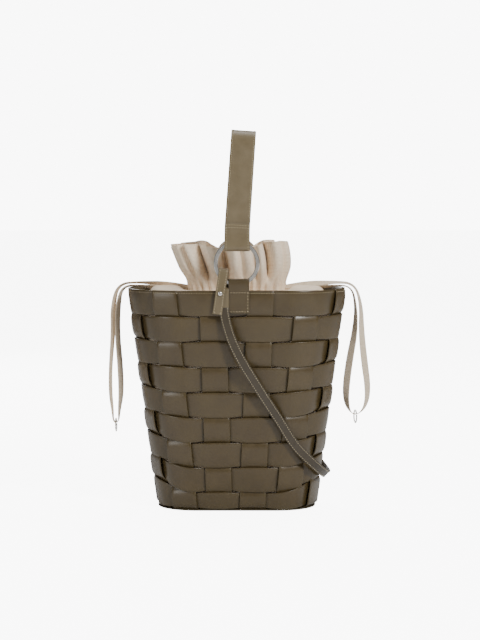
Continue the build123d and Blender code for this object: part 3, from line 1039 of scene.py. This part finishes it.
def handle_half():
    """Route of one half of the handle, from the turned-up end to the crown."""
    front, back = RING_Y - FOLD_HALF, RING_Y + FOLD_HALF
    fold = handle_low[2] + HANDLE_LEATHER / 2
    leg = TURN_UP + 1 * MM
    crown = [(-64 * MM, 426 * MM), (-52 * MM, 452 * MM), (-39 * MM, 480 * MM),
             (-28.5 * MM, 503 * MM), (-17 * MM, 521 * MM), (-5 * MM, CROWN_TOP)]
    return [
        (RING_Y - 1.2 * MM, TURN_UP), (RING_Y - 1.6 * MM, TURN_UP - 5 * MM),
        (front, TURN_UP - 14 * MM), (front, fold + 9 * MM), (front, fold),
        (back, fold), (back, fold + 9 * MM), (back, TURN_UP - 14 * MM),
        (RING_Y + 1.6 * MM, TURN_UP - 5 * MM),
        (RING_Y + 1.8 * MM, leg), *crown,
    ]


def handle_rail():
    """Line of the whole handle, from the front turned-up end to the rear one."""
    half = handle_half()
    points = [leaned(y, z) for y, z in half] + [leaned(-y, z) for y, z in half[::-1]]
    tilt = np.radians(HANDLE_LEAN)
    widths = [(-np.cos(tilt), 0, np.sin(tilt)) if z > TURN_UP else (-1, 0, 0) for _, _, z in points]
    return Rail(points, widths)


print("handle along its line", round(handle_rail().length, 3))

# %% [markdown]
# Along that line lie three things: the strap itself, a thinner lining leather between the two folds,
# and the stitches. The rows at the turned-up ends are on the strap's other face, because the end
# folds over, so their height is negative.

# %% Handle
def handle_pieces():
    """Handle strap, its lining and all their stitches."""
    rail = handle_rail()
    strap = flat_strip("handle_leather_strap", rail.length, TAB, HANDLE_LEATHER, 2.2 * MM,
                       0.45 * MM, 80)
    face = HANDLE_LEATHER / 2 + STITCH_LIFT
    side = TAB / 2 - 2.4 * MM
    end_row = 2.5 * MM
    spots, rows = [], []
    for start, end, height in ((3 * MM, 36 * MM, -face), (95 * MM, rail.length - 95 * MM, face),
                               (rail.length - 36 * MM, rail.length - 3 * MM, -face)):
        spots += along_edges(start, end, side, height)
    for x in (end_row, end_row + 3.6 * MM):
        rows += along_width(x, side, -face) + along_width(rail.length - x, side, -face)
    stitches = seam("handle_stitches", spots, rows)
    start = 97 * MM
    lining = flat_strip("handle_inner_leather", rail.length - 2 * start, TAB - 1 * MM, 1.6 * MM,
                        2.6 * MM, 0.4 * MM, 90)
    move_points(strap, rail.place)
    move_points(stitches, rail.place)
    move_points(lining, lambda x, y, z: rail.place(x + start, y, z - 1.75 * MM))
    # the handle takes the paler copy of the hide, a painted highlight
    finish_piece(strap, "handle", [lit_handle_leather, edge_and_highlight_leather], ["handle_strap"])
    finish_piece(lining, "handle", [lining_leather, edge_and_highlight_leather],
                 ["handle_lining"])
    finish_piece(stitches, "handle", [thread_linen])


handle_pieces()

# %% [markdown]
# The shoulder strap is narrow and stitched along both edges. Its end folds over the ring's band and
# hangs as a short tail, and a round stud holds the two layers.

# %% Strap ends
STRAP = 13 * MM
STRAP_LEATHER = 2.0 * MM
STRAP_SEAM = STRAP / 2 - 1.8 * MM
end_low, end_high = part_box("front_strap_end")
FOLD_Z = end_high[2]
STRAP_X = -17.3 * MM
FIRST_LAYER = 3.6 * MM
SECOND_LAYER = 6.0 * MM


def strap_end_rail():
    """From the tail's end up the front, over the ring's band and down behind to the join."""
    join, tail = RIM - 23 * MM, end_low[2]
    front, back = RING_Y - 7.2 * MM, RING_Y + 5.0 * MM
    under = RIM + 4 * MM
    drift = 9.2 * MM / (FOLD_Z - tail)
    route = [
        (tail, -(radius_at(tail) + SECOND_LAYER)),
        (RIM - 18 * MM, -(radius_at(RIM - 18 * MM) + SECOND_LAYER)),
        (RIM - 4 * MM, -(radius_at(RIM) + SECOND_LAYER)), (RIM + 10 * MM, front - 0.8 * MM),
        (FOLD_Z - 9 * MM, front), (FOLD_Z - 1 * MM, front), (FOLD_Z - 1 * MM, back),
        (FOLD_Z - 9 * MM, back), (under + 5 * MM, back), (under, back - 1 * MM),
        (under - 0.4 * MM, -(radius_at(RIM) + FIRST_LAYER) + 2 * MM),
        (under - 4 * MM, -(radius_at(RIM) + FIRST_LAYER)),
        (RIM - 10 * MM, -(radius_at(RIM - 10 * MM) + FIRST_LAYER)),
        (join, -(radius_at(join) + FIRST_LAYER)),
    ]
    points, widths = [], []
    for number, (z, y) in enumerate(route):
        lean = drift if number < 6 else 0
        points.append((STRAP_X - lean * (FOLD_Z - z), y, z))
        widths.append((-1, 0, lean))
    return Rail(points, widths)


def strap_end(front):
    """Folded strap end with its edge stitches."""
    name = "front" if front else "rear"
    rail = strap_end_rail()
    piece = flat_strip(f"{name}_strap_fold", rail.length, STRAP, STRAP_LEATHER, 1.6 * MM,
                       0.45 * MM, 100 + front)
    face = STRAP_LEATHER / 2 + STITCH_LIFT
    spots = along_edges(3 * MM, rail.length - 4 * MM, STRAP_SEAM, face)
    stitches = seam(f"{name}_strap_fold_stitches", spots, along_width(2 * MM, 4 * MM, face))
    for thing in (piece, stitches):
        move_points(thing, rail.place)
        if not front:
            turn_to_rear(thing)
    # the folded strap end takes the paler copy of the hide, a painted highlight; its run is painted
    # shade
    finish_piece(piece, None, [lit_handle_leather, edge_and_highlight_leather],
                 [f"{name}_strap_end"])
    finish_piece(stitches, None, [thread_linen])
    return piece, stitches


strap_folds = [strap_end(True), strap_end(False)]

# %% [markdown]
# From the front fold the strap hangs in a shallow curve across the weave, goes round the right side
# near the base, and climbs the back in the same way. It is stiff, so it stands clear of the wall in
# the middle of its run and throws a soft shadow there. The rail is given for the front and the turn
# and is mirrored for the back.

# %% Long run of the strap
def stand_off(share):
    """How far the strap hangs clear of the wall, from the share of the rim's height."""
    return FIRST_LAYER + 9 * MM * np.sin(np.pi * np.clip((0.925 - share) / 0.52, 0, 1)) ** 0.8


def strap_run_rail():
    """Down across the front, round the right side near the base and up across the back."""
    bend = np.radians(45.5)
    start_x, start_z = 79 * MM, 0.304 * RIM
    down = np.array((np.cos(bend), 0, -np.sin(bend)))
    aside = np.array((np.sin(bend), 0, np.cos(bend)))
    course = [(-17.3, 0.9248), (-16.6, 0.892), (-13.5, 0.850), (-9.5, 0.805), (-2.2, 0.745),
              (7.6, 0.683), (18.6, 0.6235), (38.6, 0.517), (57.4, 0.423)]
    points, widths = [], []
    for number, (x, share) in enumerate(course):
        z = share * RIM
        points.append((x * MM, -(radius_at(z) + stand_off(share)), z))
        turn = min(1.0, number / 6) * bend
        widths.append((np.cos(turn), 0, np.sin(turn)))
    swing = radius_at(start_z) + FIRST_LAYER
    for angle in (-90, -66, -44, -22, 0):
        ahead, deep = np.cos(np.radians(angle)), np.sin(np.radians(angle))
        centre = np.array((start_x, 0, start_z)) + down * swing * ahead * 1.02
        points.append(tuple(centre + np.array((0, swing * deep * 1.02, 0))))
        widths.append(tuple(aside))
    rear = [(x, -y, z) for x, y, z in points[:-1]][::-1]
    return Rail(points + rear, widths + widths[:-1][::-1])


def strap_run():
    """Long stitched strap."""
    rail = strap_run_rail()
    piece = flat_strip("shoulder_strap_run", rail.length, STRAP, STRAP_LEATHER, 3.0 * MM,
                       0.45 * MM, 120)
    face = STRAP_LEATHER / 2 + STITCH_LIFT
    spots = along_edges(2 * MM, rail.length - 2 * MM, STRAP_SEAM, face)
    stitches = seam("shoulder_strap_stitches", spots)
    for thing in (piece, stitches):
        move_points(thing, rail.place)
    # the strap run takes the darker, greyer copy of the hide, painted shade
    finish_piece(piece, "bag", [strap_leather, edge_and_highlight_leather], ["shoulder_strap"])
    finish_piece(stitches, "bag", [thread_linen])
    print("strap run", round(rail.length, 3))


strap_run()

# %% [markdown]
# The pouch is one tube of linen. Its body lines the basket, its shoulder slopes in to a neck that the
# drawstring gathers, and above the neck the cloth springs out into a ruffle. The cloth keeps its full
# girth everywhere, so where the neck is narrow it stands in deep folds: many small ones in the
# casing, which join into fewer, deeper ones at the open edge.

# %% Pouch measures
body_low, body_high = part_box("pouch_body")
casing_low, casing_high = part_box("pouch_casing")
NECK_Z = casing_low[2]
NECK_TOP = casing_high[2]
RUFFLE_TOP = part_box("pouch_ruffle")[1][2]
SHOULDER_Z = body_high[2]
NECK_RADIUS = casing_high[1] - 2 * MM
NECK_HALF = casing_high[0] - casing_high[1]
POUCH_GAP = 9.6 * MM
print("shoulder", round(SHOULDER_Z, 4), "neck", round(NECK_Z, 4), "edge", round(RUFFLE_TOP, 4))

# %% [markdown]
# The folds decide how the cloth reads. The casing has about 34 fine gathers, a sum of two waves that
# never quite repeats. The ruffle has sixteen valleys of different depth and width, each given by its
# place round the edge, its depth and its width. Even waves would look like a machine-made frill.

# %% Folds of the pouch
FOLDS = rng.uniform(0, 2 * np.pi, 8)
VALLEYS = [
    (0.842, 0.8, 0.008), (0.890, 2.0, 0.013), (0.962, 2.1, 0.016), (0.022, 0.5, 0.012),
    (0.078, 1.2, 0.010), (0.131, 2.2, 0.014), (0.190, 0.5, 0.010), (0.250, 1.1, 0.018),
    (0.310, 1.3, 0.017), (0.370, 1.1, 0.016), (0.430, 1.4, 0.018), (0.500, 1.2, 0.017),
    (0.560, 1.3, 0.017), (0.620, 1.0, 0.016), (0.690, 1.3, 0.018), (0.755, 0.9, 0.015),
]


def small_folds(share):
    """Fine gathers of the casing, from -1 to 1."""
    warp = share + 0.006 * np.sin(2 * np.pi * 5 * share + FOLDS[0])
    return 0.75 * np.sin(2 * np.pi * 34 * warp + FOLDS[1]) + 0.3 * np.sin(2 * np.pi * 57 * warp)


def big_folds(share):
    """Deep uneven valleys of the ruffle between full, smooth lobes."""
    depth = np.full_like(share, 0.45)
    for centre, deep, wide in VALLEYS:
        away = np.abs(np.mod(share - centre + 0.5, 1.0) - 0.5)
        depth = depth - deep * np.exp(-((away / wide) ** 2))
    return depth


def edge_drop(share):
    """How much lower the ruffle's edge hangs, round it."""
    from_front = np.abs(np.mod(share + 0.5, 1.0) - 0.5)
    from_back = np.abs(np.mod(share, 1.0) - 0.49)
    from_left = np.abs(np.mod(share - 0.775 + 0.5, 1.0) - 0.5)
    uneven = 2.2 * MM * np.sin(2 * np.pi * 5 * share + FOLDS[6])
    middle = np.exp(-((from_front / 0.085) ** 4)) + 1.2 * np.exp(-((from_back / 0.085) ** 4))
    return 10 * MM * middle + 9 * MM * np.exp(-((from_left / 0.05) ** 2)) + uneven


print("valleys", len(VALLEYS))

# %% [markdown]
# One function takes the flat cloth to its place: up the wall, in over the shoulder, through the neck
# and out into the ruffle. The cloth is drawn up a little under the tapes, where they pull on it.
# The mesh is a grid whose rows are spaced as listed, close together where the cloth is gathered.

# %% Linen pouch
def pouch_place(share, height):
    """Place of the pouch's cloth from the share round and the height."""
    to_neck = np.clip((height - SHOULDER_Z) / (NECK_Z - SHOULDER_Z), 0, 1)
    flare = np.clip((height - NECK_TOP) / (RUFFLE_TOP - NECK_TOP), 0, 1)
    wall_height = np.minimum(height, SHOULDER_Z)
    half = half_at(wall_height) * (1 - to_neck) + NECK_HALF * to_neck
    radius = (radius_at(wall_height) - POUCH_GAP) * (1 - to_neck) + NECK_RADIUS * to_neck
    open_out = np.sin(flare * np.pi / 2)
    radius = radius + 12 * MM * open_out
    near_neck = np.exp(-((height - (NECK_TOP + 1 * MM)) / (11 * MM)) ** 2)
    twist = 0.012 * flare * np.sin(2 * np.pi * 3 * share + FOLDS[2])
    slow = big_folds(np.mod(share + twist, 1.0))
    shoulder = smooth_step(to_neck, 0.15, 0.8) * (1 - 0.75 * smooth_step(to_neck, 0.85, 1))
    out = (3.4 * MM * near_neck * small_folds(share) + 14 * MM * smooth_step(flare, 0.04, 0.5) * slow
           + 3 * MM * shoulder * slow)
    px, py = oval_spot(share, half, radius, out)
    px = px - 9 * MM * flare * flare
    dome = smooth_step(to_neck, 0, 0.3) * (1 - smooth_step(to_neck, 0.8, 1))
    dome = (NECK_Z + 5.5 * MM - height) * dome
    tent = np.exp(-((py / (26 * MM)) ** 2)) * smooth_step(np.abs(px), 62 * MM, 84 * MM)
    tent = tent * 5.5 * MM * (1 - smooth_step(np.abs(px), 132 * MM, 146 * MM)) * (height < NECK_Z)
    pz = height + dome + tent - edge_drop(share) * flare * flare
    return np.stack([px, py, pz], axis=1)


def linen_pouch(around, up):
    """The whole pouch as one cloth, with more rows where it is gathered."""
    deselect()
    bpy.ops.mesh.primitive_grid_add(x_subdivisions=around, y_subdivisions=up, size=1)
    piece = bpy.context.object
    piece.name = "linen_pouch"
    piece.data.name = "linen_pouch"
    foot = body_low[2] + 1 * MM
    girth = girth_at(SHOULDER_Z)
    rises = (0, 0.08, 0.34, 1)
    heights = (foot, SHOULDER_Z, NECK_Z, RUFFLE_TOP)
    lengths = (0, 0.254, 0.35, 0.43)
    set_uv(piece, lambda spot: ((spot.x + 0.5) * girth, np.interp(spot.y + 0.5, rises, lengths)))
    move_points(piece, lambda x, y, z: pouch_place(x + 0.5, np.interp(y + 0.5, rises, heights)))
    select_only(piece)
    bpy.ops.object.mode_set(mode="EDIT")
    bpy.ops.mesh.select_all(action="SELECT")
    bpy.ops.mesh.remove_doubles(threshold=0.01 * MM)
    bpy.ops.object.mode_set(mode="OBJECT")
    return piece


pouch = linen_pouch(256, 42)
print("pouch points", len(pouch.data.vertices))

# %% [markdown]
# The ruffle is free cloth, so Blender's cloth simulation lets it settle for a few frames, with the
# rest of the pouch pinned. Linen is light and stiff, and the folds are already in the shape, so it
# moves by a fraction of a millimetre: it evens out the tight places and no more. A heavier cloth would
# fall in on itself. Then the result is applied, the mesh is made finer and the cloth gets its
# thickness.

# %% Cloth settles
POINT_MASS = 0.0006
LINEN_THICK = 0.7 * MM


def settle_cloth(piece, pinned_below, frames):
    """Let the part of a cloth above a height hang freely for a few frames, and keep the result."""
    heights = np.array([vertex.co.z for vertex in piece.data.vertices])
    pins = piece.vertex_groups.new(name="pins")
    pins.add([int(number) for number in np.nonzero(heights < pinned_below)[0]], 1.0, "REPLACE")
    cloth_modifier = piece.modifiers.new("cloth", "CLOTH")
    settings = cloth_modifier.settings
    settings.quality = 6
    settings.mass = POINT_MASS
    settings.tension_stiffness = 18
    settings.compression_stiffness = 18
    settings.shear_stiffness = 8
    settings.bending_stiffness = 0.6
    settings.vertex_group_mass = pins.name
    cloth_modifier.collision_settings.use_collision = False
    cloth_modifier.point_cache.frame_end = frames
    for frame_number in range(1, frames + 1):
        bpy.context.scene.frame_set(frame_number)
    apply_modifiers(piece)
    bpy.context.scene.frame_set(1)
    after = np.array([vertex.co.z for vertex in piece.data.vertices])
    print("cloth sank by up to", round(float(np.max(heights - after)), 4))


settle_cloth(pouch, NECK_TOP + 3 * MM, 12)
finer = pouch.modifiers.new("finer", "SUBSURF")
finer.levels = 1
solid = pouch.modifiers.new("thickness", "SOLIDIFY")
solid.thickness = LINEN_THICK
solid.offset = 0
area = sum(face.area for face in pouch.data.polygons)
apply_modifiers(pouch)
finish_piece(pouch, "bag", [linen],
             ["pouch_body", "pouch_shoulder", "pouch_casing", "pouch_ruffle"])
print("pouch area", round(area, 3))

# %% [markdown]
# The floor of the pouch is a flat piece of the same linen, sewn in at the foot of the tube. A filled
# circle is pulled out into an oval: its two halves move apart by the length of the straight sides.

# %% Pouch floor
deselect()
bpy.ops.mesh.primitive_circle_add(vertices=96, radius=1, fill_type="NGON", location=(0, 0, 0))
pouch_floor = bpy.context.object
pouch_floor.name = "pouch_floor"
set_uv(pouch_floor, lambda spot: (spot.x * 0.11, spot.y * 0.06))


def floor_place(x, y, z):
    height = body_low[2] + 1.5 * MM
    radius = radius_at(height) - POUCH_GAP
    return np.stack([x * radius + np.sign(x) * half_at(height) * np.minimum(1, np.abs(x) * 8),
                     y * radius, np.full_like(x, height)], axis=1)


move_points(pouch_floor, floor_place)
finish_piece(pouch_floor, "bag", [linen])

# %% [markdown]
# The tapes were laid first. They now get their cloth and their bodies, and the strap's folds have
# their places baked into their points.

# %% Tapes and strap folds
for piece, rail, points, side in (
    (left_tape, left_rail, left_points, "left"), (right_tape, right_rail, right_points, "right"),
):
    finish_piece(piece, "bag", [tape_linen, tape_linen], [f"{side}_drawstring"])

for (fold, stitches), ring in zip(strap_folds, ("front_ring", "rear_ring")):
    for thing in (fold, stitches):
        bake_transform(thing)
print("strap folds blend over", round(FOLD_Z - 12 * MM - RIM + 6 * MM, 4))

# %% [markdown]
# The floor is plain and white, with a faint unevenness so that it isn't dead flat. Like the world, it
# glows for the camera only, and throws none of that light on the leather.

# %% Floor material
floor_parts = plain_material("white_sweep", 0.8, 0.00002)
floor_material, floor_tree, floor_shader, floor_bump = floor_parts
floor_noise = texture(floor_tree, "ShaderNodeTexNoise", surface_vector(floor_tree, False), 40, 2)
floor_tree.links.new(floor_noise.outputs[0], floor_bump.inputs["Height"])
floor_shader.inputs["Base Color"].default_value = (0.93, 0.93, 0.93, 1)
floor_seen = floor_tree.nodes.new("ShaderNodeLightPath")
floor_glow = maths(floor_tree, "MULTIPLY", floor_seen.outputs["Is Camera Ray"],
                   FLOOR_FOR_CAMERA)
floor_shader.inputs["Emission Color"].default_value = (1, 1, 1, 1)
floor_tree.links.new(floor_glow, floor_shader.inputs["Emission Strength"])
floor.data.materials.append(floor_material)
